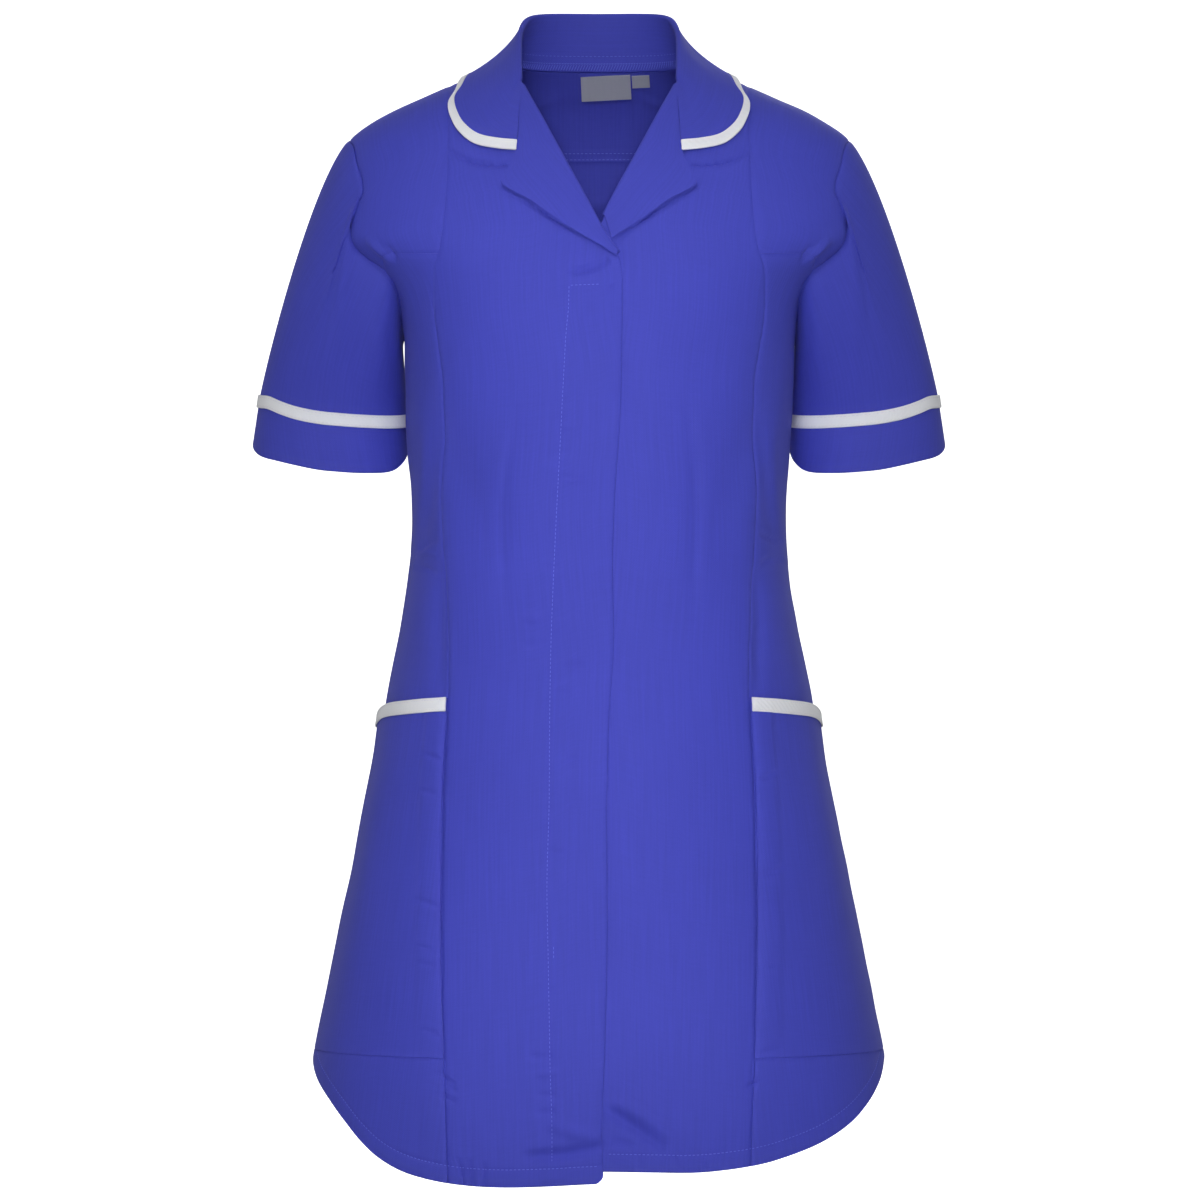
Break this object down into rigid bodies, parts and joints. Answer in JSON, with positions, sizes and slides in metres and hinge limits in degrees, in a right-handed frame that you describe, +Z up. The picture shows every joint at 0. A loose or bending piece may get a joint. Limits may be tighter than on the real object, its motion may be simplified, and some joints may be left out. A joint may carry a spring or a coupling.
{
  "type": "maternity tunic",
  "caption": "Short-sleeved maternity tunic filled out as worn, with a revere collar, concealed front fastening, hip patch pockets, curved hem and contrast trims.",
  "frame": {"origin": "middle of the neck opening at shoulder level, where the wearer's neck and shoulders hold the tunic up", "axes": "+X to the wearer's left, -Y to the front, +Z up along the body"},
  "size_m": [0.5228, 0.3154, 0.8721],
  "materials": {
    "blue_cloth": "matt royal blue polycotton twill",
    "white_trim": "matt white cotton binding",
    "label_weave": "matt grey woven label, bare"
  },
  "bodies": {
    "root": {"front_right": "blue_cloth", "front_left": "blue_cloth", "lapel_right": "blue_cloth", "lapel_left": "blue_cloth", "front_yoke_right": "blue_cloth", "front_yoke_left": "blue_cloth", "side_front_right": "blue_cloth", "side_front_left": "blue_cloth", "pocket_right": "blue_cloth", "pocket_left": "blue_cloth", "pocket_trim_right": "white_trim", "pocket_trim_left": "white_trim", "back_yoke": "blue_cloth", "back": "blue_cloth", "collar": "blue_cloth", "collar_binding": "white_trim", "sleeve_right": "blue_cloth", "sleeve_left": "blue_cloth", "cuff_right": "blue_cloth", "cuff_left": "blue_cloth", "cuff_trim_right": "white_trim", "cuff_trim_left": "white_trim", "label_main": "label_weave", "label_size": "label_weave"}
  },
  "joints": []
}
